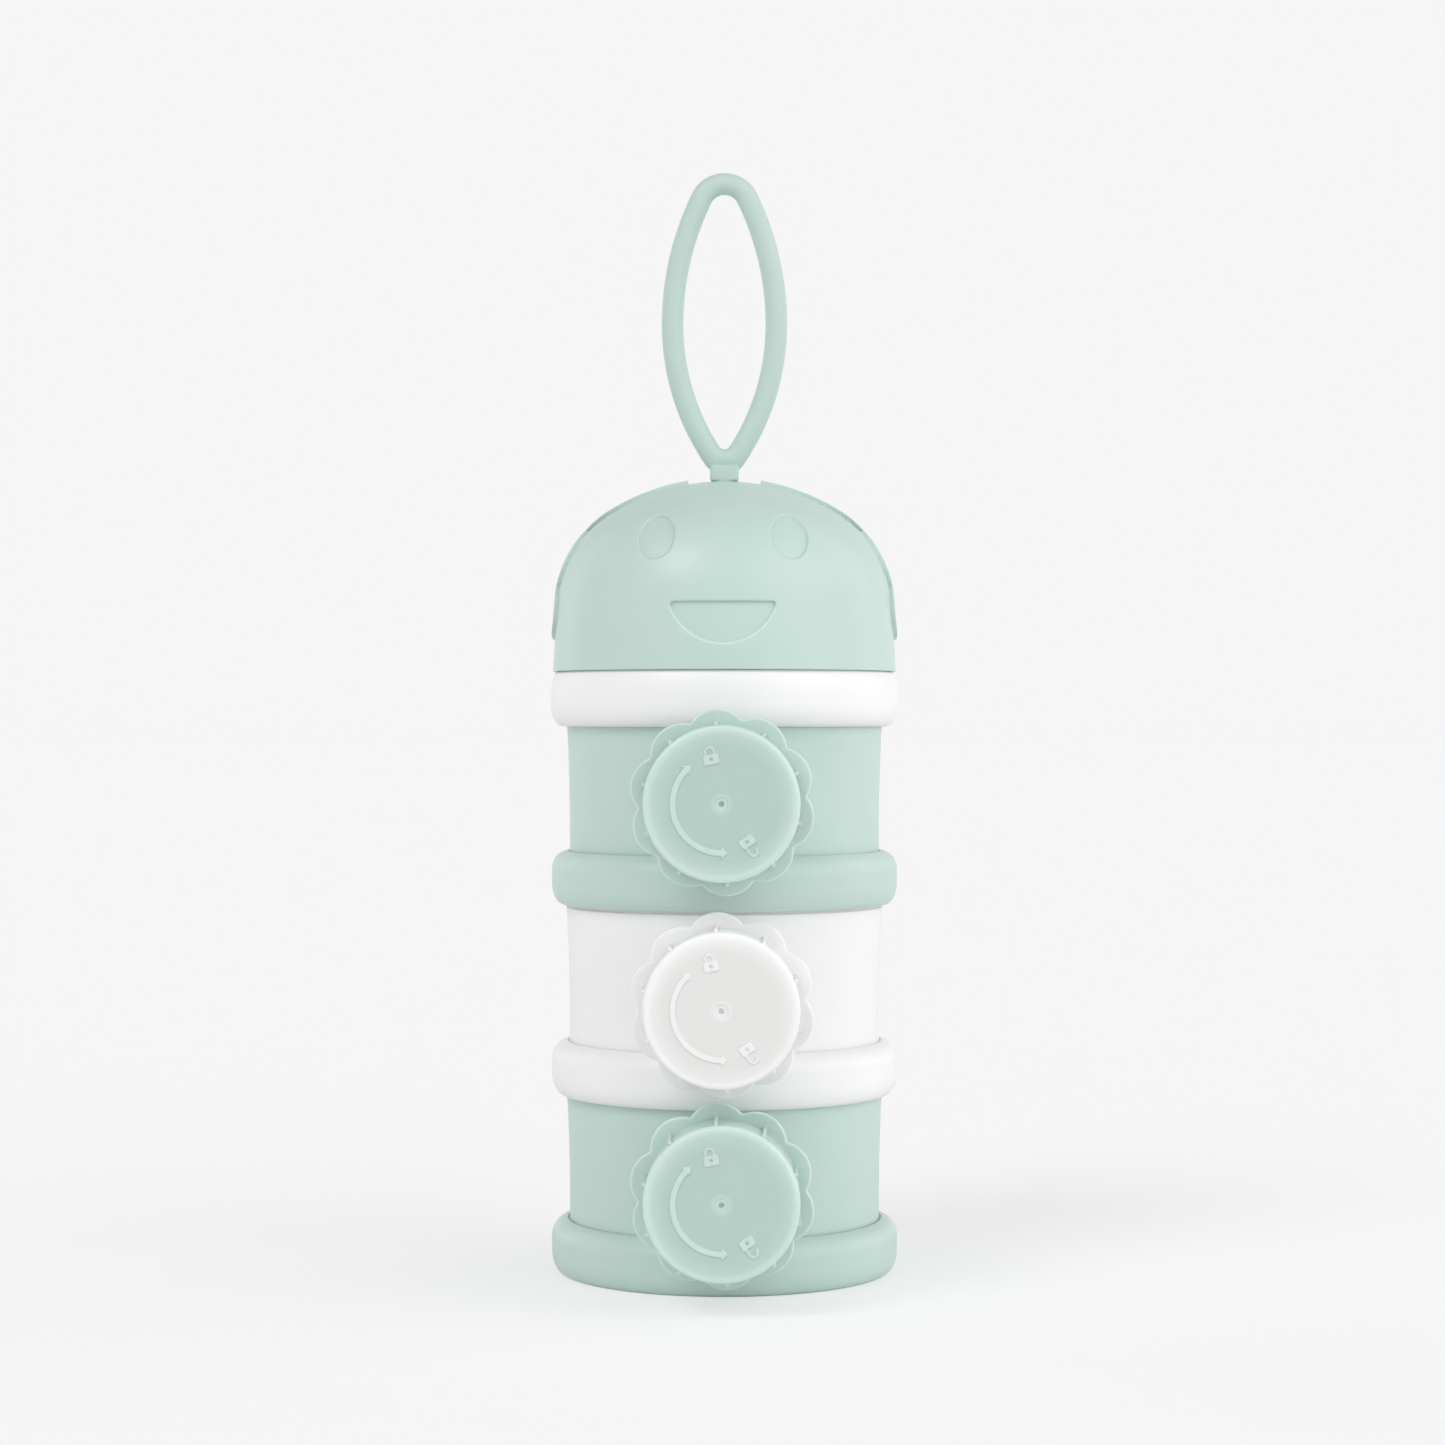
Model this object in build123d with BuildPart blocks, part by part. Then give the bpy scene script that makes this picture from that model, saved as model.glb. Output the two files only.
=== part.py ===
from build123d import *
from math import asin, atan2, cos, degrees, radians, sin, sqrt
import os

os.makedirs("parts", exist_ok=True)

# Stacking formula dispenser. Millimetres, +Z up, the front with its spouts faces -Y.
# The origin is on the stack's axis, at the level that the lowest base rim stands on.

# Stack thread: three starts, so a container can catch its neighbour at three heights
stack_starts = 3
thread_lead = 9.0
start_step = thread_lead / stack_starts

# Stack. The upper container stands one thread start above its lowest seat.
pitch = 43.9                    # height that a fully seated container adds
base_of = {"lower": 0.0, "middle": pitch, "upper": 2 * pitch + start_step}
lid_base = base_of["upper"] + pitch

# Base ring of a container, which is also its threaded skirt
ring_r = 42.8
ring_h = 13.2
rim_r = 39.9                    # outer edge of the flat that the ring stands on
rim_round_h = 5.2               # height of the ring's lower rounding
shoulder_z = 8.8                # where the ring's upper rounding starts
crease_w = 0.45                 # narrow groove between ring and wall
crease_depth = 0.5
socket_r = 39.6                 # plain stretch at the skirt's mouth, around the wall below
socket_h = 2.7
skirt_r = 39.1
skirt_z = 3.3                   # where the threaded stretch starts
floor_z = 10.4
floor_t = 1.6

# Wall and neck
wall_low_r = 38.35
wall_mid_r = 38.6
wall_mid_z = 33.0
wall_top_r = 39.2
wall_over = 2.4                 # how far the wall rises into a seated skirt
wall_inner_r = 36.6
corner_round = 2.0
throat_z = 2.2                  # below the pitch: where the wall's inside starts to narrow
throat_h = 1.2                  # height of that cone, up to the neck
throat_round = 0.5
land_r = 39.0
land_h = 0.8
neck_r = 37.4
neck_inner_r = 35.8
neck_h = 9.0

# Thread ridges; the low values are the centre of a ridge's lower end
stack_male_h = 1.3
stack_female_h = 1.2
stack_male_low = 4.5            # above the seated pitch
stack_female_low = 4.2          # above the skirt's rim
stack_thread_turns = 0.36
stack_female_phase = 48.0       # puts each inner ridge midway between two outer ones
ridge_root = 1.5
ridge_crest = 0.8
ridge_sink = 0.3

# Spout, along -Y; distances are from the stack's axis
spout_z = 26.5
spout_bore_r = 12.8
spout_wall = 1.8
spout_r = spout_bore_r + spout_wall
spout_rim = 70.3
spout_root = 33.0               # where the funnel starts, inside the wall
spout_root_r = 16.2
spout_taper_end = 52.0
spout_starts = 2
spout_male_h = 1.0
spout_female_h = 1.0
spout_thread_low = 61.9
spout_thread_turns = 0.72

# Spout cap
cap_face = 73.0
cap_plate_t = 1.5
cap_back = 57.8
cap_r = 17.9
cap_inner_r = 16.0
cap_edge_round = 1.0
flange_t = 1.7
cap_sink = 0.5                  # how far one stretch of a cap is drawn into another
lobe_count = 10
lobe_tip_r = 21.65
lobe_valley_r = 19.5
lobe_valley_round = 0.5
flange_round = 0.55
lobe_phase = 94.0               # angle of the first lobe from +X, seen from the front
rib_w = 0.8
rib_h = 0.8
rib_end = 71.7
gate_dish_r = 1.5
gate_dish_depth = 0.15
gate_hole_r = 0.6
gate_hole_depth = 0.8
seal_r = 14.8

# Raised marks on the cap's face: a double arrow and a shut and an open padlock
mark_h = 0.2
mark_r = 11.1                   # circle that the marks lie on
arrow_w = 1.35
arrow_from = 136.5              # angles of the arrow's bar, seen from the front
arrow_to = 269.5
head_w = 2.7
head_l = 1.6
padlock_shut_at = 103.0
padlock_open_at = 304.0
padlock_w = 3.5
padlock_body_h = 2.3
padlock_low = -1.9              # foot of the padlock, measured outwards from the marks' circle
padlock_round = 0.35
shackle_r = 0.95
shackle_w = 0.55
shackle_leg = 0.7
open_lift = 0.8                 # how far the open shackle rises
open_gap = 1.0                  # from the open shackle's free end to the body
keyhole_r = 0.4

# Gaskets under the floors
gasket_t = floor_z - neck_h
gasket_r = 38.7
gasket_inner_r = 34.9

# Lid collar
collar_r = 43.1
collar_h = 13.6
collar_top_r = 41.4
collar_shoulder_z = 7.5
lip_low_r = 40.4
lip_top_r = 40.15
lip_inner_r = 38.8
lip_step = 1.6                  # how much narrower the lid's inside is at its floor
lip_step_h = 0.8                # above the collar's top: where its inside reaches the lip
lip_corner = 0.7
lip_h = 4.0

# Dome cover
dome_base = lid_base + collar_h
dome_top = 195.5
dome_wall = 1.8
dome_crown = (28.5, 187.2)      # radius and height where the crown's arc ends
dome_cheek = (41.3, 166.0)      # radius and height where the shoulder's arc ends
dome_r = 42.6
pad_t = 0.95
parting = 9.0                   # half of the bare strip between the two pads
eye_x = 15.8
eye_z = 180.0
eye_w = 8.4
eye_h = 10.9
eye_lean = 17.0
eye_depth = 0.6
mouth_w = 25.4
mouth_z = 164.4
mouth_drop = 9.8
mouth_depth = 0.8
mouth_corner = 0.8
recess_rim_round = 0.4
recess_floor_round = 0.15
hole_r = 2.6

# Carry loop and its plug
cord_r = 2.7
loop_half_w = 12.9              # from the axis to the cord's centre line where it is widest
loop_mid_z = 234.6
loop_low_r = 58.8
loop_high_r = 71.6
loop_crown_r = 6.3
knuckle_z = 201.0
knuckle_w = 7.2
knuckle_gap = 0.3
stem_w = 7.0
stem_d = 5.2
stem_round = 2.2
stem_low = dome_top + 0.05
stem_top = 198.4
plug_r = 2.5
head_r = 4.8
head_tip_r = 2.4
head_top = 193.3
head_h = 3.2
head_edge = 0.8
neck_sink = 0.5                 # how far the plug's neck is drawn into its head and its stem

# Room for cutting and trimming the dome
reach = 60.0
pad_reach = 50.0
pad_top = 200.0


def save(part, name):
    part.label = name
    export_step(part, f"parts/{name}.step")


def ridge(radius, height, low, turns, facing):
    """One helical thread ridge around +Z. facing is 1 for an outside thread and -1 for an inside one."""
    with BuildPart() as thread:
        with BuildLine() as path:
            Helix(pitch=thread_lead, height=thread_lead * turns, radius=radius, center=(0, 0, low))
        with BuildSketch(Plane(origin=path.line @ 0, x_dir=(facing, 0, 0), z_dir=path.line % 0)):
            with BuildLine():
                Polyline(
                    (-ridge_sink, -ridge_root / 2),
                    (height, -ridge_crest / 2),
                    (height, ridge_crest / 2),
                    (-ridge_sink, ridge_root / 2),
                    close=True,
                )
            make_face()
        sweep(is_frenet=True)
    return thread.part


def along_spout(base=0.0, distance=0.0):
    """The plane across the spout of a container that stands at base, facing out along -Y."""
    return Plane(origin=(0, -distance, base + spout_z), x_dir=(1, 0, 0), z_dir=(0, -1, 0))


def ring_outline(outer_r, top):
    """The stretch of outline that all rings share: the flat rim and the lower rounding."""
    Line((0, 0), (rim_r, 0))
    EllipticalCenterArc((rim_r, rim_round_h), outer_r - rim_r, rim_round_h, start_angle=270, arc_size=90)
    Line((outer_r, rim_round_h), (outer_r, top))


# Hollow under every floor: a plain mouth, a short cone and the threaded stretch.
with BuildPart() as skirt_hollow:
    with BuildSketch(Plane.XZ):
        with BuildLine():
            Polyline(
                (0, 0),
                (socket_r, 0),
                (socket_r, socket_h),
                (skirt_r, skirt_z),
                (skirt_r, floor_z),
                (0, floor_z),
                close=True,
            )
        make_face()
    revolve(axis=Axis.Z)

# Container: solid outline first, then the spout, then the hollows.
with BuildPart() as container:
    with BuildSketch(Plane.XZ):
        with BuildLine():
            ring_outline(ring_r, shoulder_z)
            crease_r = wall_low_r + crease_w
            wall_top = pitch + wall_over
            EllipticalCenterArc(
                (crease_r, shoulder_z), ring_r - crease_r, ring_h - shoulder_z, start_angle=0, arc_size=90
            )
            Polyline(
                (crease_r, ring_h),
                (crease_r, ring_h - crease_depth),
                (wall_low_r, ring_h - crease_depth),
            )
            ThreePointArc(
                (wall_low_r, ring_h - crease_depth), (wall_mid_r, wall_mid_z), (wall_top_r, wall_top)
            )
            Polyline(
                (wall_top_r, wall_top),
                (land_r, wall_top),
                (land_r, wall_top + land_h),
                (neck_r, wall_top + land_h),
                (neck_r, pitch + neck_h),
                (0, pitch + neck_h),
                (0, 0),
            )
        make_face()
    revolve(axis=Axis.Z)
    with BuildSketch(along_spout(distance=spout_root)):
        Circle(spout_root_r)
    with BuildSketch(along_spout(distance=spout_taper_end)):
        Circle(spout_r)
    loft()
    with BuildSketch(along_spout(distance=spout_taper_end)):
        Circle(spout_r)
    extrude(amount=spout_rim - spout_taper_end)
    with BuildSketch(Plane.XZ):
        with BuildLine():
            FilletPolyline(
                (0, floor_z + floor_t),
                (wall_inner_r, floor_z + floor_t),
                (wall_inner_r, pitch - throat_z),
                (neck_inner_r, pitch - throat_z + throat_h),
                (neck_inner_r, pitch + neck_h),
                radius=(corner_round, throat_round, throat_round),
            )
            Polyline((neck_inner_r, pitch + neck_h), (0, pitch + neck_h), (0, floor_z + floor_t))
        make_face()
    revolve(axis=Axis.Z, mode=Mode.SUBTRACT)
    add(skirt_hollow.part, mode=Mode.SUBTRACT)
    with BuildSketch(along_spout(distance=spout_root)):
        Circle(spout_root_r - spout_wall)
    with BuildSketch(along_spout(distance=spout_taper_end)):
        Circle(spout_bore_r)
    loft(mode=Mode.SUBTRACT)
    with BuildSketch(along_spout(distance=spout_taper_end)):
        Circle(spout_bore_r)
    extrude(amount=spout_rim - spout_taper_end, mode=Mode.SUBTRACT)

neck_ridge = ridge(neck_r, stack_male_h, pitch + stack_male_low, stack_thread_turns, 1)
skirt_ridge = ridge(skirt_r, stack_female_h, stack_female_low, stack_thread_turns, -1)
spout_ridge = ridge(spout_r, spout_male_h, spout_thread_low, spout_thread_turns, 1)
with BuildPart() as threaded_container:
    add(container.part)
    with PolarLocations(0, stack_starts):
        add(neck_ridge)
    with PolarLocations(0, stack_starts, start_angle=stack_female_phase):
        add(skirt_ridge)
    with Locations(along_spout().location):
        with PolarLocations(0, spout_starts):
            add(spout_ridge)

for level, base in base_of.items():
    with BuildPart() as stacked_container:
        with Locations((0, 0, base)):
            add(threaded_container.part)
    save(stacked_container.part, f"{level}_container")

# Flat gasket that lies under each floor and seals on the neck below.
floors = {f"{level}_container": base for level, base in base_of.items()}
floors["lid"] = lid_base
for name, base in floors.items():
    with BuildPart() as gasket:
        with BuildSketch(Plane.XY.offset(base + neck_h)):
            Circle(gasket_r)
            Circle(gasket_inner_r, mode=Mode.SUBTRACT)
        extrude(amount=gasket_t)
    save(gasket.part, f"{name}_gasket")


def on_mark_circle(angle, turn=0.0, out=0.0):
    """A place on the marks' circle, moved outwards by out. At turn 0 its Y axis points outwards."""
    away = mark_r + out
    place = (away * cos(radians(angle)), away * sin(radians(angle)), 0)
    return Location(place, (0, 0, angle - 90 + turn))


def draw_padlock(angle, lift=0.0, gap=0.0):
    """A padlock whose foot faces the cap's centre. lift raises its shackle, gap frees the left leg."""
    with Locations(on_mark_circle(angle, out=padlock_low + padlock_body_h / 2)):
        RectangleRounded(padlock_w, padlock_body_h, padlock_round)
        Circle(keyhole_r, mode=Mode.SUBTRACT)
    shoulder = padlock_low + padlock_body_h
    with Locations(on_mark_circle(angle, out=shoulder + shackle_leg + lift)):
        SlotArc(CenterArc((0, 0), shackle_r, 0, 180), shackle_w)
    with Locations(on_mark_circle(angle, out=shoulder)):
        with Locations((shackle_r, (shackle_leg + lift) / 2)):
            Rectangle(shackle_w, shackle_leg + lift + shackle_w)
        with Locations((-shackle_r, (shackle_leg + lift + gap) / 2)):
            Rectangle(shackle_w, shackle_leg + lift - gap)


# Spout cap, drawn along +Z with its open end down; it is placed along -Y below.
with BuildPart() as cap:
    with BuildSketch(Plane.XY.offset(cap_back)) as flower:
        with BuildLine():
            for lobe in range(lobe_count):
                tip = lobe_phase + lobe * 360 / lobe_count
                half = 180 / lobe_count
                ThreePointArc(
                    (lobe_valley_r * cos(radians(tip - half)), lobe_valley_r * sin(radians(tip - half))),
                    (lobe_tip_r * cos(radians(tip)), lobe_tip_r * sin(radians(tip))),
                    (lobe_valley_r * cos(radians(tip + half)), lobe_valley_r * sin(radians(tip + half))),
                )
        make_face()
        fillet(flower.vertices(), radius=lobe_valley_round)
    extrude(amount=flange_t)
    fillet(cap.edges().filter_by(Plane.XY), radius=flange_round)
    with BuildSketch(Plane.XY.offset(cap_back + flange_round)):
        Circle(cap_r)
    extrude(amount=cap_face - cap_back - flange_round)
    fillet(cap.faces().sort_by(Axis.Z)[-1].edges(), radius=cap_edge_round)
    with BuildSketch(Plane.XY.offset(cap_back + flange_t - cap_sink)):
        with PolarLocations(cap_r, lobe_count, start_angle=lobe_phase):
            Rectangle(2 * rib_h, rib_w)
    extrude(amount=rib_end - cap_back - flange_t + cap_sink)
    with BuildSketch(Plane.XY.offset(cap_back)):
        Circle(cap_inner_r)
    extrude(amount=cap_face - cap_plate_t - cap_back, mode=Mode.SUBTRACT)
    with BuildSketch(Plane.XY.offset(cap_face)):
        Circle(gate_dish_r)
    extrude(amount=-gate_dish_depth, mode=Mode.SUBTRACT)
    with BuildSketch(Plane.XY.offset(cap_face)):
        Circle(gate_hole_r)
    extrude(amount=-gate_hole_depth, mode=Mode.SUBTRACT)
    with BuildSketch(Plane.XY.offset(cap_face)):
        SlotArc(CenterArc((0, 0), mark_r, arrow_from, arrow_to - arrow_from), arrow_w)
        with Locations(on_mark_circle(arrow_from, turn=-90), on_mark_circle(arrow_to, turn=90)):
            Polygon((head_w / 2, 0), (0, head_l), (-head_w / 2, 0), align=None)
        draw_padlock(padlock_shut_at)
        draw_padlock(padlock_open_at, open_lift, open_gap)
    extrude(amount=mark_h)

cap_ridge = ridge(cap_inner_r, spout_female_h, spout_thread_low, spout_thread_turns, -1)
with BuildPart() as threaded_cap:
    add(cap.part)
    with PolarLocations(0, spout_starts, start_angle=180 / spout_starts):
        add(cap_ridge)

for level, base in base_of.items():
    with BuildPart() as spout_cap:
        with Locations(along_spout(base).location):
            add(threaded_cap.part)
    save(spout_cap.part, f"{level}_spout_cap")
    with BuildPart() as cap_seal:
        with BuildSketch(along_spout(base, spout_rim)):
            Circle(seal_r)
        extrude(amount=cap_face - cap_plate_t - spout_rim)
    save(cap_seal.part, f"{level}_cap_seal")

# Lid collar: a short ring with the same skirt, a floor disc and a lip that centres the dome.
lid_plane = Plane.XZ.shift_origin((0, 0, lid_base))
with BuildPart() as collar:
    with BuildSketch(lid_plane):
        with BuildLine():
            ring_outline(collar_r, collar_shoulder_z)
            EllipticalCenterArc(
                (collar_top_r, collar_shoulder_z),
                collar_r - collar_top_r,
                collar_h - collar_shoulder_z,
                start_angle=0,
                arc_size=90,
            )
            Polyline(
                (collar_top_r, collar_h),
                (lip_low_r, collar_h),
                (lip_top_r, collar_h + lip_h),
                (0, collar_h + lip_h),
                (0, 0),
            )
        make_face()
    revolve(axis=Axis.Z)
    with BuildSketch(lid_plane):
        with BuildLine():
            FilletPolyline(
                (0, floor_z + floor_t),
                (lip_inner_r - lip_step, floor_z + floor_t),
                (lip_inner_r, collar_h + lip_step_h),
                (lip_inner_r, collar_h + lip_h),
                radius=lip_corner,
            )
            Polyline((lip_inner_r, collar_h + lip_h), (0, collar_h + lip_h), (0, floor_z + floor_t))
        make_face()
    revolve(axis=Axis.Z, mode=Mode.SUBTRACT)
    with Locations((0, 0, lid_base)):
        add(skirt_hollow.part, mode=Mode.SUBTRACT)

with BuildPart() as lid_collar:
    add(collar.part)
    with Locations((0, 0, lid_base)):
        with PolarLocations(0, stack_starts, start_angle=stack_female_phase):
            add(skirt_ridge)
save(lid_collar.part, "lid_collar")


def dome_solid(grow):
    """The dome's outer shape, grown outwards by grow: crown, shoulder and cheek arcs, down to the base."""
    with BuildLine() as bare:
        crown = TangentArc((0, dome_top), dome_crown, tangent=(1, 0))
        shoulder = TangentArc(dome_crown, dome_cheek, tangent=crown % 1)
        TangentArc(dome_cheek, (dome_r, dome_base), tangent=shoulder % 1)
    crown_out = (crown % 1).rotate(Axis.Z, 90)
    shoulder_out = (shoulder % 1).rotate(Axis.Z, 90)
    base_out = (bare.line % 1).rotate(Axis.Z, 90)
    with BuildPart() as solid:
        with BuildSketch(Plane.XZ):
            with BuildLine():
                first = TangentArc(
                    (0, dome_top + grow), Vector(*dome_crown) + crown_out * grow, tangent=(1, 0)
                )
                second = TangentArc(first @ 1, Vector(*dome_cheek) + shoulder_out * grow, tangent=first % 1)
                third = TangentArc(
                    second @ 1, Vector(dome_r, dome_base) + base_out * grow, tangent=second % 1
                )
                foot = third @ 1
                Polyline(foot, (foot.X, dome_base - 1), (0, dome_base - 1), (0, dome_top + grow))
            make_face()
        revolve(axis=Axis.Z)
        split(bisect_by=Plane.XY.offset(dome_base), keep=Keep.TOP)
    return solid.part


bare_dome = dome_solid(0)
pad_skin = dome_solid(pad_t)
dome_hollow = dome_solid(-dome_wall)

# Side outline of one pad, in y and z: three lobes down the front edge, two along the back.
with BuildPart() as pad:
    with BuildSketch(Plane.YZ.offset(parting)):
        with BuildLine():
            ThreePointArc((-2.6, pad_top), (-4.6, 191.5), (0.6, 183.4))
            ThreePointArc((0.6, 183.4), (-4.8, 177), (-3.2, 169.4))
            ThreePointArc((-3.2, 169.4), (-6.0, 163), (-2.5, 158.1))
            ThreePointArc((-2.5, 158.1), (9, 156.4), (20, 160.6))
            ThreePointArc((20, 160.6), (33, 157.0), (pad_reach, 160.6))
            Polyline((pad_reach, 160.6), (pad_reach, pad_top), (-2.6, pad_top))
        make_face()
    extrude(amount=pad_reach)
    add(pad_skin, mode=Mode.INTERSECT)

# Recesses of the face, cut from the front into the dome's skin.
with BuildPart() as eye:
    with BuildSketch(Plane.XZ):
        with Locations((eye_x, eye_z)):
            Ellipse(eye_w / 2, eye_h / 2, rotation=eye_lean)
    extrude(amount=reach)
    add(dome_solid(-eye_depth), mode=Mode.SUBTRACT)
    fillet(eye.faces().sort_by(Axis.Y)[-1].edges(), radius=recess_floor_round)

with BuildPart() as mouth:
    with BuildSketch(Plane.XZ) as half_moon:
        with BuildLine():
            Line((-mouth_w / 2, mouth_z), (mouth_w / 2, mouth_z))
            ThreePointArc((mouth_w / 2, mouth_z), (0, mouth_z - mouth_drop), (-mouth_w / 2, mouth_z))
        make_face()
        fillet(half_moon.vertices(), radius=mouth_corner)
    extrude(amount=reach)
    add(dome_solid(-mouth_depth), mode=Mode.SUBTRACT)
    fillet(mouth.faces().sort_by(Axis.Y)[-1].edges(), radius=recess_floor_round)

with BuildPart() as dome_cover:
    add(bare_dome)
    add(eye.part, mode=Mode.SUBTRACT)
    add(eye.part.mirror(Plane.YZ), mode=Mode.SUBTRACT)
    add(mouth.part, mode=Mode.SUBTRACT)
    rims = [wire.edges() for skin in dome_cover.faces() for wire in skin.inner_wires()]
    fillet([edge for rim in rims for edge in rim], radius=recess_rim_round)
    add(pad.part)
    add(pad.part.mirror(Plane.YZ))
    add(dome_hollow, mode=Mode.SUBTRACT)
    with BuildSketch(Plane.XY.offset(dome_top + 1)):
        Circle(hole_r)
    extrude(amount=-dome_wall - 2, mode=Mode.SUBTRACT)
save(dome_cover.part, "dome_cover")

# Plug: stem above the dome, neck through its hole, mushroom head inside.
with BuildPart() as loop_plug:
    with BuildSketch(Plane.XY.offset(stem_low)):
        RectangleRounded(stem_w, stem_d, stem_round)
    extrude(amount=stem_top - stem_low)
    with BuildSketch(Plane.YZ.offset(-stem_w)):
        with Locations((0, knuckle_z)):
            Circle(cord_r + knuckle_gap)
    extrude(amount=2 * stem_w, mode=Mode.SUBTRACT)
    with BuildSketch(Plane.XY.offset(head_top - neck_sink)):
        Circle(plug_r)
    extrude(amount=stem_low - head_top + 2 * neck_sink)
    with BuildSketch(Plane.XZ):
        with BuildLine():
            Polyline(
                (0, head_top),
                (head_r, head_top),
                (head_r, head_top - head_edge),
                (head_tip_r, head_top - head_h),
                (0, head_top - head_h),
                close=True,
            )
        make_face()
    revolve(axis=Axis.Z)
save(loop_plug.part, "loop_plug")

# Loop: two bowed arms that meet in a V at the knuckle and in a tight bend at the top.
low_centre = loop_half_w - loop_low_r
high_centre = loop_half_w - loop_high_r
low_sweep = degrees(asin((loop_mid_z - knuckle_z) / loop_low_r))
knuckle_x = low_centre + loop_low_r * cos(radians(low_sweep))
crown_z = loop_mid_z + sqrt((loop_high_r - loop_crown_r) ** 2 - high_centre**2)
high_sweep = degrees(atan2(crown_z - loop_mid_z, -high_centre))
with BuildPart() as carry_loop:
    with BuildLine(Plane.XZ) as centre_line:
        CenterArc((low_centre, loop_mid_z), loop_low_r, -low_sweep, low_sweep)
        CenterArc((high_centre, loop_mid_z), loop_high_r, 0, high_sweep)
        CenterArc((0, crown_z), loop_crown_r, high_sweep, 180 - 2 * high_sweep)
        CenterArc((-high_centre, loop_mid_z), loop_high_r, 180 - high_sweep, high_sweep)
        CenterArc((-low_centre, loop_mid_z), loop_low_r, 180, low_sweep)
    with BuildSketch(Plane(origin=centre_line.line @ 0, z_dir=centre_line.line % 0)):
        Circle(cord_r)
    sweep()
    with Locations((knuckle_x, 0, knuckle_z), (-knuckle_x, 0, knuckle_z)):
        Sphere(cord_r)
    with Locations((0, 0, knuckle_z)):
        Cylinder(cord_r, knuckle_w, rotation=(0, 90, 0))
save(carry_loop.part, "carry_loop")
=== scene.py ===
from math import asin, atan2, cos, pi, radians, sin, sqrt

import bmesh
import bpy
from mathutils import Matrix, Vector


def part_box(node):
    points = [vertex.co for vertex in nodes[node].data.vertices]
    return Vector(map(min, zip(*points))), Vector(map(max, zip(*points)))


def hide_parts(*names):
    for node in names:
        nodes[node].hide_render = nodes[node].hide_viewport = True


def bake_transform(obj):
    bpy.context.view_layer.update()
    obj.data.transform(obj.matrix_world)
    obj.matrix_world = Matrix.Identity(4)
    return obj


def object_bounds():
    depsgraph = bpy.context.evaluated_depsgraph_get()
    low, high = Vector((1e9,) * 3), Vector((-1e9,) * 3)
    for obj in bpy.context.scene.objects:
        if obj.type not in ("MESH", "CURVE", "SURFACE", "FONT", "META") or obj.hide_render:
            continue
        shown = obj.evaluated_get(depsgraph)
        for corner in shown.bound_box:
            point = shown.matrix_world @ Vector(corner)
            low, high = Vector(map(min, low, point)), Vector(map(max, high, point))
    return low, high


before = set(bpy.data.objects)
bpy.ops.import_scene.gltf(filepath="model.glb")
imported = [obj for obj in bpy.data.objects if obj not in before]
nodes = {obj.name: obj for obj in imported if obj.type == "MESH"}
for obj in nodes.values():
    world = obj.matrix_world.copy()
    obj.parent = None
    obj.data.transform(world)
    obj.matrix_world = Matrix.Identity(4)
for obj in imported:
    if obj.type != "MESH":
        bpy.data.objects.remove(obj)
cad_low, cad_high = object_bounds()

# Looks of a stacking formula dispenser. Metres, +Z up, the spouts face -Y.
MM = 0.001
LEVELS = ("lower", "middle", "upper")
MARK_H = 0.2 * MM               # how proud the marks stand on a cap's face
EDGE_R = 0.45 * MM              # softness of moulded edges in the shading

# Colours, linear: plain, deep in the clouds, and pale for the painted highlights on the edges; the caps'
# deep colours are also painted shade over the hollow
MINT = (0.555, 0.705, 0.655)
MINT_DEEP = (0.53, 0.682, 0.63)
MINT_PALE_HIGHLIGHT = (0.68, 0.82, 0.775)
# The caps' plain colours are painted a little paler than the bodies': painted light for the glow through
# the thin flange
MINT_CAP = (0.585, 0.735, 0.685)
MINT_CAP_CLOUD_AND_SHADE = (0.455, 0.605, 0.553)
WHITE = (0.92, 0.92, 0.912)
WHITE_DEEP = (0.895, 0.895, 0.887)
WHITE_PALE_HIGHLIGHT = (0.95, 0.95, 0.945)
WHITE_CAP = (0.925, 0.925, 0.917)
WHITE_CAP_CLOUD_AND_SHADE = (0.775, 0.775, 0.762)
SILICONE = (0.525, 0.665, 0.61)
SILICONE_DEEP = (0.495, 0.64, 0.583)
SILICONE_PALE_HIGHLIGHT = (0.60, 0.76, 0.70)
SEAL = (0.78, 0.80, 0.80)
SEAL_DEEP = (0.72, 0.745, 0.745)
SEAL_PALE_HIGHLIGHT = (0.86, 0.88, 0.88)

# Roughness, smooth to dull
GLOSS = (0.30, 0.38)
SATIN = (0.42, 0.54)
SEAL_GLOSS = (0.42, 0.55)

# How much light each material lets in, how far it goes, and each colour's share of that distance
PLASTIC_CLEAR = 0.18
CAP_CLEAR = 0.22
SILICONE_CLEAR = 0.08
SEAL_CLEAR = 0.4
GLOW_REACH = 2.2 * MM
GLOW_TINT = (1.0, 1.0, 0.9)

# Noise patterns, in features to a metre
CLOUD = 26.0
SPECKLE = 1100.0
SHEEN = 160.0
GRAIN = 1500.0
GRAIN_H = 0.05 * MM
GRAIN_STRENGTH = 0.35

# Moulded plastic
PLASTIC_IOR = 1.49
PLASTIC_SHINE = 0.45
CLOUD_GAIN = 0.7                # how far the clouds go from the plain colour to the deep one
SPECKLE_GAIN = 0.16
EDGE_HIGHLIGHT_GAIN = 0.7                 # how far the painted highlight on an edge goes to the pale colour
EDGE_LEAN = (0.72, 0.985)       # how well a rounded normal agrees with the flat one, on an edge and off it

# How far a cap's marks, its painted highlights, and the painted highlight on the lip under the mouth go to
# the pale colour
BLUSH_GAIN = 0.4
RIM_HIGHLIGHT_GAIN = 0.6
PROUD_GAIN = 0.55
SIDE_HIGHLIGHT_GAIN = 0.9
LIP_HIGHLIGHT_GAIN = 0.65

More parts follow.
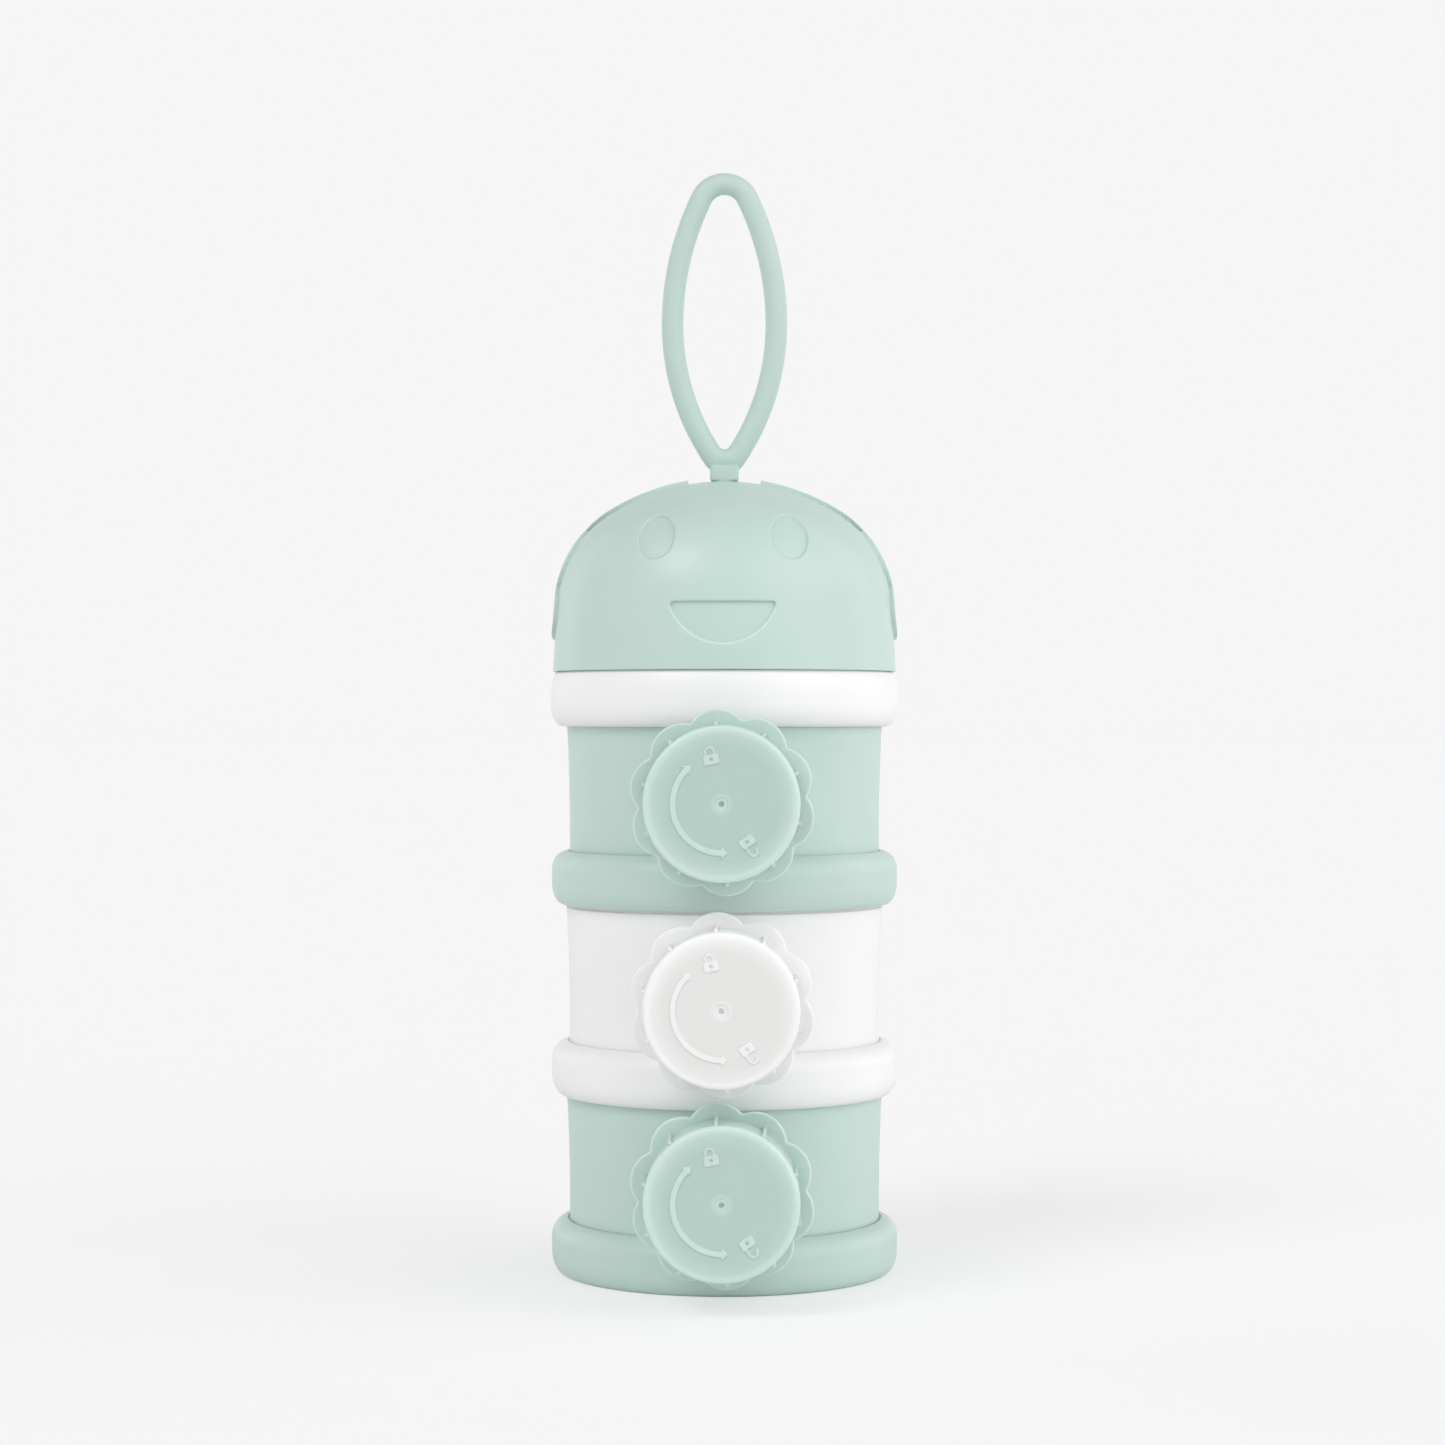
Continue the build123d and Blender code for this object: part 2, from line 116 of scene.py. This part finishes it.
# Bands of a cap, by distance from its axis: where each one starts and ends; painted shade over the hollow,
# painted highlights on the rim and the flange's sides
BLUSH_BAND = (1.4 * MM, 2.8 * MM)       # round the gate mark
HOLLOW_SHADE_BAND = (13.0 * MM, 17.0 * MM)
RIM_HIGHLIGHT_BAND = (15.8 * MM, 17.4 * MM)
FLANGE_HIGHLIGHT_BAND = (18.3 * MM, 19.0 * MM)

# Bands of a cap, by depth behind its face; the marks stand before it
PROUD_BAND = (-0.15 * MM, -0.05 * MM)
FACE_BAND = (0.9 * MM, 1.8 * MM)
SIDE_HIGHLIGHT_BAND = (0.6, 0.97)                 # how squarely the flange's surface faces along the spout, for the painted highlight on its sides

# Dome
PAD_HIGHLIGHT_FROM = (-16.0 * MM, -8.0 * MM)     # y where the painted highlight on the pads' edges fades in
LIP_CENTRE_Z = 167.7 * MM               # centre and radius of the lip under the mouth
LIP_R = 13.3 * MM
LIP_HIGHLIGHT_BAND = (0.1 * MM, 0.45 * MM)        # distance from the lip's line where its painted highlight lies
LIP_HIGHLIGHT_LOW = (-6.0 * MM, -3.5 * MM)        # height over the lip's centre where the painted highlight ends
LIP_HIGHLIGHT_FRONT = (-30.0 * MM, -25.0 * MM)    # y behind which there is no painted highlight on the lip


# ---------------------------------------------------------------- materials

class Graph:
    """A node tree, with short ways to add nodes to it and link them."""

    def __init__(self, tree):
        self.tree = tree

    def node(self, kind, **settings):
        made = self.tree.nodes.new(kind)
        for key, value in settings.items():
            setattr(made, key, value)
        return made

    def link(self, source, target):
        self.tree.links.new(source, target)

    def spread(self, source, low, high, from_low=0.3, from_high=0.7):
        """source brought from one range to another, held at its ends outside."""
        made = self.node("ShaderNodeMapRange")
        made.inputs["From Min"].default_value = from_low
        made.inputs["From Max"].default_value = from_high
        made.inputs["To Min"].default_value = low
        made.inputs["To Max"].default_value = high
        self.link(source, made.inputs["Value"])
        return made.outputs["Result"]

    def mixed(self, factor, first, second):
        """A colour between first and second; each is a colour or a socket."""
        made = self.node("ShaderNodeMix", data_type="RGBA")
        self.link(factor, made.inputs["Factor"])
        for socket, colour in ((made.inputs[6], first), (made.inputs[7], second)):
            if isinstance(colour, tuple):
                socket.default_value = (*colour, 1.0)
            else:
                self.link(colour, socket)
        return made.outputs[2]

    def math(self, operation, first, second=0.0):
        made = self.node("ShaderNodeMath", operation=operation)
        for socket, value in zip(made.inputs, (first, second)):
            if isinstance(value, (int, float)):
                socket.default_value = value
            else:
                self.link(value, socket)
        return made.outputs[0]

    def parts(self, vector):
        """X, Y and Z of a vector."""
        made = self.node("ShaderNodeSeparateXYZ")
        self.link(vector, made.inputs["Vector"])
        return made.outputs["X"], made.outputs["Y"], made.outputs["Z"]


class Surface(Graph):
    """One material, with its shader and the place on the piece that is being shaded."""

    def __init__(self, name):
        self.material = bpy.data.materials.new(name)
        self.material.use_nodes = True
        super().__init__(self.material.node_tree)
        self.shader = self.tree.nodes["Principled BSDF"]
        self.axes = self.node("ShaderNodeTexCoord")
        self.place = self.axes.outputs["Object"]

    def noise(self, scale, detail):
        """Noise from 0 to 1 whose features are about 1 / scale metres wide."""
        made = self.node("ShaderNodeTexNoise")
        made.inputs["Scale"].default_value = scale
        made.inputs["Detail"].default_value = detail
        self.link(self.place, made.inputs["Vector"])
        return made.outputs["Fac"]

    def around(self, x, y, z):
        """(distance from the line along Y through a point, Y and Z from that point)."""
        shift = self.node("ShaderNodeMapping")
        shift.inputs["Location"].default_value = (-x, -y, -z)
        self.link(self.place, shift.inputs["Vector"])
        across, behind, above = self.parts(shift.outputs["Vector"])
        squares = self.math("ADD", self.math("POWER", across, 2.0), self.math("POWER", above, 2.0))
        return self.math("SQRT", squares), behind, above

    def edges(self, radius):
        """(normal with its edges rounded, mask that is 1 on an edge and 0 away from one)."""
        rounded = self.node("ShaderNodeBevel", samples=6)
        rounded.inputs["Radius"].default_value = radius
        flat = self.node("ShaderNodeNewGeometry")
        along = self.node("ShaderNodeVectorMath", operation="DOT_PRODUCT")
        self.link(rounded.outputs["Normal"], along.inputs[0])
        self.link(flat.outputs["Normal"], along.inputs[1])
        mask = self.spread(along.outputs["Value"], 1.0, 0.0, *EDGE_LEAN)
        return rounded.outputs["Normal"], mask

    def grain(self, normal):
        """A fine moulded grain on top of a normal."""
        bump = self.node("ShaderNodeBump")
        bump.inputs["Strength"].default_value = GRAIN_STRENGTH
        bump.inputs["Distance"].default_value = GRAIN_H
        self.link(self.noise(GRAIN, detail=3.0), bump.inputs["Height"])
        self.link(normal, bump.inputs["Normal"])
        self.link(bump.outputs["Normal"], self.shader.inputs["Normal"])


def moulded(name, colour, deep, pale, roughness, translucency, paint=None, edge_highlight_gain=None):
    """Moulded plastic or silicone: cloudy colour, a painted highlight that makes the edges pale,
    translucency, satin grain.

    paint adds to the colour, and the last argument says how strong the painted highlight on the edges is,
    and where; both take the surface.
    """
    look = Surface(name)
    cloud = look.spread(look.noise(CLOUD, detail=3.0), 0.0, 1.0)
    speckle = look.spread(look.noise(SPECKLE, detail=1.0), 0.0, SPECKLE_GAIN)
    base = look.mixed(look.math("ADD", look.math("MULTIPLY", cloud, CLOUD_GAIN), speckle), colour, deep)
    if paint:
        base = paint(look, base)
    normal, edge = look.edges(EDGE_R)
    gain = edge_highlight_gain(look) if edge_highlight_gain else EDGE_HIGHLIGHT_GAIN
    # Painted highlight: the edges go towards the pale colour, standing in for rounded edges catching light
    look.link(look.mixed(look.math("MULTIPLY", edge, gain), base, pale), look.shader.inputs["Base Color"])
    low, high = roughness
    look.link(look.spread(look.noise(SHEEN, detail=4.0), low, high), look.shader.inputs["Roughness"])
    look.grain(normal)
    look.shader.inputs["IOR"].default_value = PLASTIC_IOR
    look.shader.inputs["Specular IOR Level"].default_value = PLASTIC_SHINE
    look.shader.inputs["Subsurface Weight"].default_value = translucency
    look.shader.inputs["Subsurface Radius"].default_value = GLOW_TINT
    look.shader.inputs["Subsurface Scale"].default_value = GLOW_REACH
    return look.material


def cap_paint(node, hollow_shade, mark_and_highlight):
    """Tint of one spout cap: painted shade over the hollow, a painted highlight on the rim and on the
    flange's sides, and pale marks.
    """
    low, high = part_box(node)
    centre = (low + high) / 2
    face_y = low.y + MARK_H

    def paint(look, base):
        reach, behind, _ = look.around(centre.x, face_y, centre.z)
        near_face = look.spread(behind, 1.0, 0.0, *FACE_BAND)
        hollow_shade_mask = look.spread(reach, 1.0, 0.0, *HOLLOW_SHADE_BAND)
        # Painted shade: the face goes darker where the hollow lies behind it
        base = look.mixed(look.math("MULTIPLY", hollow_shade_mask, near_face), base, hollow_shade)
        blush = look.spread(reach, BLUSH_GAIN, 0.0, *BLUSH_BAND)
        # Painted highlight on the rim, standing in for its rounded edge catching light
        rim = look.spread(reach, 0.0, RIM_HIGHLIGHT_GAIN, *RIM_HIGHLIGHT_BAND)
        proud = look.spread(behind, PROUD_GAIN, 0.0, *PROUD_BAND)
        pale = look.math("MAXIMUM", look.math("MAXIMUM", blush, rim), proud)
        base = look.mixed(look.math("MULTIPLY", pale, near_face), base, mark_and_highlight)
        # Painted highlight on the flange's sides and rounded edges
        _, facing, _ = look.parts(look.axes.outputs["Normal"])
        side = look.spread(look.math("ABSOLUTE", facing), SIDE_HIGHLIGHT_GAIN, 0.0, *SIDE_HIGHLIGHT_BAND)
        flange = look.spread(reach, 0.0, 1.0, *FLANGE_HIGHLIGHT_BAND)
        return look.mixed(look.math("MULTIPLY", side, flange), base, mark_and_highlight)

    return paint


def dome_edge_highlight(look):
    """Painted highlight on the edges of the dome's pads, none round the face."""
    _, y, _ = look.parts(look.place)
    return look.spread(y, 0.0, EDGE_HIGHLIGHT_GAIN, *PAD_HIGHLIGHT_FROM)


def lip_highlight(look, base):
    """Painted highlight along the lip, on the curve under the dome's mouth."""
    reach, y, above = look.around(0.0, 0.0, LIP_CENTRE_Z)
    off = look.math("ABSOLUTE", look.math("SUBTRACT", reach, LIP_R))
    line = look.spread(off, LIP_HIGHLIGHT_GAIN, 0.0, *LIP_HIGHLIGHT_BAND)
    below = look.spread(above, 1.0, 0.0, *LIP_HIGHLIGHT_LOW)
    front = look.spread(y, 1.0, 0.0, *LIP_HIGHLIGHT_FRONT)
    return look.mixed(look.math("MULTIPLY", look.math("MULTIPLY", line, below), front), base, MINT_PALE_HIGHLIGHT)


mint_look = moulded("mint_plastic_look", MINT, MINT_DEEP, MINT_PALE_HIGHLIGHT, GLOSS, PLASTIC_CLEAR)
dome_look = moulded(
    "dome_plastic_look", MINT, MINT_DEEP, MINT_PALE_HIGHLIGHT, GLOSS, PLASTIC_CLEAR, lip_highlight, dome_edge_highlight
)
white_look = moulded("white_plastic_look", WHITE, WHITE_DEEP, WHITE_PALE_HIGHLIGHT, GLOSS, PLASTIC_CLEAR)
loop_look = moulded("silicone_look", SILICONE, SILICONE_DEEP, SILICONE_PALE_HIGHLIGHT, SATIN, SILICONE_CLEAR)
seal_look = moulded("clear_silicone_look", SEAL, SEAL_DEEP, SEAL_PALE_HIGHLIGHT, SEAL_GLOSS, SEAL_CLEAR)


def finish_node(name, material):
    nodes[name].data.materials.clear()
    nodes[name].data.materials.append(material)


for level in LEVELS:
    is_white = level == "middle"
    finish_node(f"{level}_container", white_look if is_white else mint_look)
    cap = f"{level}_spout_cap"
    colours = (WHITE_CAP, WHITE_CAP_CLOUD_AND_SHADE, WHITE_PALE_HIGHLIGHT) if is_white else (MINT_CAP, MINT_CAP_CLOUD_AND_SHADE, MINT_PALE_HIGHLIGHT)
    paint = cap_paint(cap, colours[1], colours[2])
    finish_node(cap, moulded(f"{cap}_look", *colours, GLOSS, CAP_CLEAR, paint))
    finish_node(f"{level}_container_gasket", seal_look)
    finish_node(f"{level}_cap_seal", seal_look)
finish_node("lid_gasket", seal_look)
finish_node("lid_collar", white_look)
finish_node("dome_cover", dome_look)


# ---------------------------------------------------------------- carry loop

# Millimetres, like the CAD
CORD_R = 2.7
LOOP_HALF_W = 12.9              # to the cord's centre line where the loop is widest
LOOP_MID_Z = 234.6
LOOP_LOW_R = 58.8
LOOP_HIGH_R = 71.6
LOOP_CROWN_R = 6.3
KNUCKLE_Z = 201.0
CROTCH_R = 4.4                  # the cord's centre line where the two arms run together
CROTCH_Z = 205.3
CROTCH_SWEEP = 125.0
STEM_W = 7.1
STEM_D = 4.9
STEM_CORNER = 0.9
STEM_RINGS = (                  # height, and how much narrower than the stem
    (195.55, 0.7),
    (195.75, 0.2),
    (196.15, 0.0),
    (198.4, 0.0),
    (199.2, 0.1),
    (199.7, 0.7),
)
NECK_TOP = 196.55
PLUG_R = 2.45
HEAD_TOP = 193.3
NECK_SINK = 0.5                 # how far the neck reaches into the head
HEAD_OUTLINE = (                # radius, height from the head's top
    (4.3, 0.0),
    (4.7, -0.35),
    (4.7, -0.9),
    (2.8, -2.8),
    (2.3, -3.1),
)
SKIN_STEP = 0.26                # size of the skin's facets
SKIN_PASSES = 4                 # how often the creases are softened


def arc(centre, radius, start, sweep, steps):
    """Points along an arc in the XZ plane; angles in radians."""
    angles = [start + sweep * i / steps for i in range(steps + 1)]
    return [Vector((centre[0] + radius * cos(a), 0, centre[1] + radius * sin(a))) for a in angles]


def loop_line():
    """Centre line of the loop, from the knuckle up the right arm, over the top and down the left one."""
    low_x = LOOP_HALF_W - LOOP_LOW_R
    high_x = LOOP_HALF_W - LOOP_HIGH_R
    low_sweep = asin((LOOP_MID_Z - KNUCKLE_Z) / LOOP_LOW_R)
    crown_z = LOOP_MID_Z + sqrt((LOOP_HIGH_R - LOOP_CROWN_R) ** 2 - high_x**2)
    high_sweep = atan2(crown_z - LOOP_MID_Z, -high_x)
    right = arc((low_x, LOOP_MID_Z), LOOP_LOW_R, -low_sweep, low_sweep, steps=40)
    right += arc((high_x, LOOP_MID_Z), LOOP_HIGH_R, 0, high_sweep, steps=36)[1:]
    top = arc((0, crown_z), LOOP_CROWN_R, high_sweep, pi - 2 * high_sweep, steps=20)[1:]
    left = [Vector((-p.x, 0, p.z)) for p in reversed(right)][1:]
    return right + top + left


def join_rings(mesh, rings):
    """Quads between rings in a row, and a cap at each end."""
    for low, high in zip(rings, rings[1:]):
        for k in range(len(low)):
            n = (k + 1) % len(low)
            mesh.faces.new((low[k], low[n], high[n], high[k]))
    mesh.faces.new(rings[0][::-1])
    mesh.faces.new(rings[-1])


def add_tube(mesh, line, sides=36):
    """A length of cord along a line that lies in the XZ plane, with a round end at each side."""
    turns = [2 * pi * k / sides for k in range(sides)]
    out = Vector((0, 1, 0))
    rings = []
    for i, point in enumerate(line):
        along = (line[min(i + 1, len(line) - 1)] - line[max(i - 1, 0)]).normalized()
        across = along.cross(out)
        rings.append([mesh.verts.new(point + (across * cos(t) + out * sin(t)) * CORD_R) for t in turns])
    join_rings(mesh, rings)
    for end in (line[0], line[-1]):
        ball = bmesh.ops.create_uvsphere(mesh, u_segments=32, v_segments=20, radius=CORD_R)
        bmesh.ops.translate(mesh, verts=ball["verts"], vec=end)


def rounded_ring(mesh, width, depth, corner, z, steps=6):
    """A ring of points around a rounded rectangle at height z."""
    points = []
    for quarter, (sx, sy) in enumerate(((1, 1), (-1, 1), (-1, -1), (1, -1))):
        for i in range(steps + 1):
            a = pi / 2 * (quarter + i / steps)
            x = sx * (width / 2 - corner) + corner * cos(a)
            y = sy * (depth / 2 - corner) + corner * sin(a)
            points.append(mesh.verts.new((x, y, z)))
    return points


def add_turned(mesh, outline, sides=40):
    """A turned solid around the axis from an outline of radius and height."""
    turns = [2 * pi * k / sides for k in range(sides)]
    join_rings(mesh, [[mesh.verts.new((r * cos(t), r * sin(t), z)) for t in turns] for r, z in outline])


def loop_solids():
    """The rough solids that overlap to make the moulding: head, neck, stem, crotch and loop."""
    mesh = bmesh.new()
    add_tube(mesh, loop_line())
    half = radians(CROTCH_SWEEP) / 2
    add_tube(mesh, arc((0, CROTCH_Z), CROTCH_R, -pi / 2 - half, 2 * half, steps=16))
    stem = [rounded_ring(mesh, STEM_W - inset, STEM_D - inset, STEM_CORNER, z) for z, inset in STEM_RINGS]
    join_rings(mesh, stem)
    add_turned(mesh, ((PLUG_R, HEAD_TOP - NECK_SINK), (PLUG_R, NECK_TOP)))
    add_turned(mesh, [(r, HEAD_TOP + dz) for r, dz in HEAD_OUTLINE])
    bmesh.ops.recalc_face_normals(mesh, faces=mesh.faces)
    bmesh.ops.scale(mesh, verts=mesh.verts, vec=(MM, MM, MM))
    data = bpy.data.meshes.new("loop_solids")
    mesh.to_mesh(data)
    mesh.free()
    return data


def carry_loop():
    """The silicone moulding of loop, stem and plug, joined into one soft skin."""
    solids = loop_solids()
    shape = bpy.data.objects.new("loop_solids", solids)
    bpy.context.scene.collection.objects.link(shape)
    skin = shape.modifiers.new("skin", "REMESH")
    skin.mode = "VOXEL"
    skin.voxel_size = SKIN_STEP * MM
    soften = shape.modifiers.new("soften", "SMOOTH")
    soften.factor = 0.5
    soften.iterations = SKIN_PASSES
    final = bpy.data.meshes.new_from_object(shape.evaluated_get(bpy.context.evaluated_depsgraph_get()))
    bpy.data.objects.remove(shape)
    bpy.data.meshes.remove(solids)
    final.name = "silicone_carry_loop"
    final.shade_smooth()
    final.materials.append(loop_look)
    piece = bpy.data.objects.new("silicone_carry_loop", final)
    bpy.context.scene.collection.objects.link(piece)
    return piece


loop = carry_loop()
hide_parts("loop_plug", "carry_loop")
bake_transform(loop)


# ---------------------------------------------------------------- studio

BACKDROP_TONE = 0.921           # what the camera sees behind and under the object
FLOOR_GIVE = 0.53               # how much the floor that the camera sees answers to light, and so to shadow
FLOOR_BOUNCE = 0.92             # how much light the floor sends back up
FLOOR_R = 40.0
LOW_SKY = 1.05                  # light from all round, at eye level and below
HIGH_SKY = 0.22                 # light from straight above
RIGHT_SKY = 0.12                # how much brighter it is to the right
SUNS = {                        # strength, degrees right of the camera, degrees up, softness in degrees
    "right_light": (0.80, 55.0, 30.0, 60.0),
    "left_light": (0.90, -40.0, 45.0, 30.0),
}
STRIPS = (                      # tall soft boxes: degrees to the right of the camera, strength
    (112.0, 0.9),
    (-128.0, 0.6),
)
STRIP_HALF = radians(5.0)       # half of a strip's full-strength width
STRIP_SOFT = radians(12.0)      # the fall-off beside it
STRIP_TOP = (0.5, 0.9)          # sine of the elevations where a strip starts to fade and ends

# Camera, worked out from the ellipses of the rings
CAMERA_PLACE = (0.0075, -0.815, 0.1368)
CAMERA_TURN = 0.0098            # radians to the left
LENS = 81.7                     # millimetres
SENSOR = 36.0
LENS_SHIFT = -0.0031


def from_camera(azimuth, elevation):
    """Unit vector towards a light: azimuth to the right of the camera, elevation above the floor."""
    a, e = radians(azimuth), radians(elevation)
    return Vector((sin(a) * cos(e), -cos(a) * cos(e), sin(e)))


def strip_light(air, x, y, z):
    """Strength of the soft boxes in a direction; each is a tall strip that fades out overhead."""
    turned = air.math("ARCTAN2", x, air.math("MULTIPLY", y, -1.0))
    glow = 0.0
    for azimuth, strength in STRIPS:
        off = air.math("ABSOLUTE", air.math("SUBTRACT", turned, radians(azimuth)))
        glow = air.math("ADD", air.spread(off, strength, 0.0, STRIP_HALF, STRIP_HALF + STRIP_SOFT), glow)
    return air.math("MULTIPLY", glow, air.spread(z, 1.0, 0.0, *STRIP_TOP))


def strips_on_floor():
    """Light that the soft boxes give the open floor."""
    fade, end = STRIP_TOP
    upright = fade**2 / 2 + (end * (end**2 - fade**2) / 2 - (end**3 - fade**3) / 3) / (end - fade)
    return sum(strength for _, strength in STRIPS) * (2 * STRIP_HALF + STRIP_SOFT) * upright / pi


def seen_or_lit(graph, seen, lit, output):
    """One shader for what the camera sees, another for the light that the object gets."""
    sight = graph.node("ShaderNodeLightPath")
    choose = graph.node("ShaderNodeMixShader")
    graph.link(sight.outputs["Is Camera Ray"], choose.inputs["Fac"])
    graph.link(lit, choose.inputs[1])
    graph.link(seen, choose.inputs[2])
    graph.link(choose.outputs["Shader"], graph.tree.nodes[output].inputs["Surface"])


def studio_air():
    """Even light from all round, less from above, with soft boxes; the camera sees one pale tone."""
    world = bpy.data.worlds.new("studio_air")
    bpy.context.scene.world = world
    world.use_nodes = True
    air = Graph(world.node_tree)
    backdrop = world.node_tree.nodes["Background"]
    backdrop.inputs["Color"].default_value = (1.0, 1.0, 1.0, 1.0)
    backdrop.inputs["Strength"].default_value = BACKDROP_TONE
    around = air.node("ShaderNodeBackground")
    around.inputs["Color"].default_value = (1.0, 1.0, 1.0, 1.0)
    x, y, z = air.parts(air.node("ShaderNodeTexCoord").outputs["Generated"])
    by_height = air.spread(z, LOW_SKY, HIGH_SKY, 0.0, 1.0)
    plain = air.math("ADD", by_height, air.math("MULTIPLY", x, RIGHT_SKY))
    air.link(air.math("ADD", plain, strip_light(air, x, y, z)), around.inputs["Strength"])
    seen_or_lit(air, backdrop.outputs["Background"], around.outputs["Background"], "World Output")


def studio_lights():
    for name, (strength, azimuth, elevation, softness) in SUNS.items():
        data = bpy.data.lights.new(name, "SUN")
        data.energy = strength
        data.angle = radians(softness)
        lamp = bpy.data.objects.new(name, data)
        bpy.context.scene.collection.objects.link(lamp)
        lamp.rotation_euler = from_camera(azimuth, elevation).to_track_quat("Z", "Y").to_euler()


def studio_floor():
    """A wide pale floor that meets the backdrop's tone, so that only soft shadows mark it."""
    mesh = bmesh.new()
    bmesh.ops.create_circle(mesh, cap_ends=True, segments=96, radius=FLOOR_R)
    data = bpy.data.meshes.new("studio_floor")
    mesh.to_mesh(data)
    mesh.free()
    floor = bpy.data.objects.new("studio_floor", data)
    bpy.context.scene.collection.objects.link(floor)
    floor.location.z = cad_low.z
    # Light on open floor: the sky weighted by height, each sun and the soft boxes
    open_light = LOW_SKY + (HIGH_SKY - LOW_SKY) * 2 / 3
    open_light += sum(strength / pi * sin(radians(up)) for strength, _, up, _ in SUNS.values())
    open_light += strips_on_floor()
    look = bpy.data.materials.new("studio_floor_look")
    look.use_nodes = True
    graph = Graph(look.node_tree)
    seen = graph.node("ShaderNodeBsdfDiffuse")
    seen.inputs["Color"].default_value = (FLOOR_GIVE, FLOOR_GIVE, FLOOR_GIVE, 1.0)
    glow = graph.node("ShaderNodeEmission")
    glow.inputs["Strength"].default_value = BACKDROP_TONE - FLOOR_GIVE * open_light
    both = graph.node("ShaderNodeAddShader")
    graph.link(seen.outputs["BSDF"], both.inputs[0])
    graph.link(glow.outputs["Emission"], both.inputs[1])
    lit = graph.node("ShaderNodeBsdfDiffuse")
    lit.inputs["Color"].default_value = (FLOOR_BOUNCE, FLOOR_BOUNCE, FLOOR_BOUNCE, 1.0)
    seen_or_lit(graph, both.outputs["Shader"], lit.outputs["BSDF"], "Material Output")
    data.materials.append(look)


studio_air()
studio_lights()
studio_floor()

view = bpy.data.cameras.new("view")
view.lens = LENS
view.sensor_width = SENSOR
view.shift_y = LENS_SHIFT
view.clip_start = 0.05
view.clip_end = 100.0
camera = bpy.data.objects.new("view", view)
bpy.context.scene.collection.objects.link(camera)
camera.location = CAMERA_PLACE
camera.rotation_euler = (pi / 2, 0.0, CAMERA_TURN)
bpy.context.scene.camera = camera
bpy.context.scene.view_settings.view_transform = "Standard"
bpy.context.scene.view_settings.look = "None"
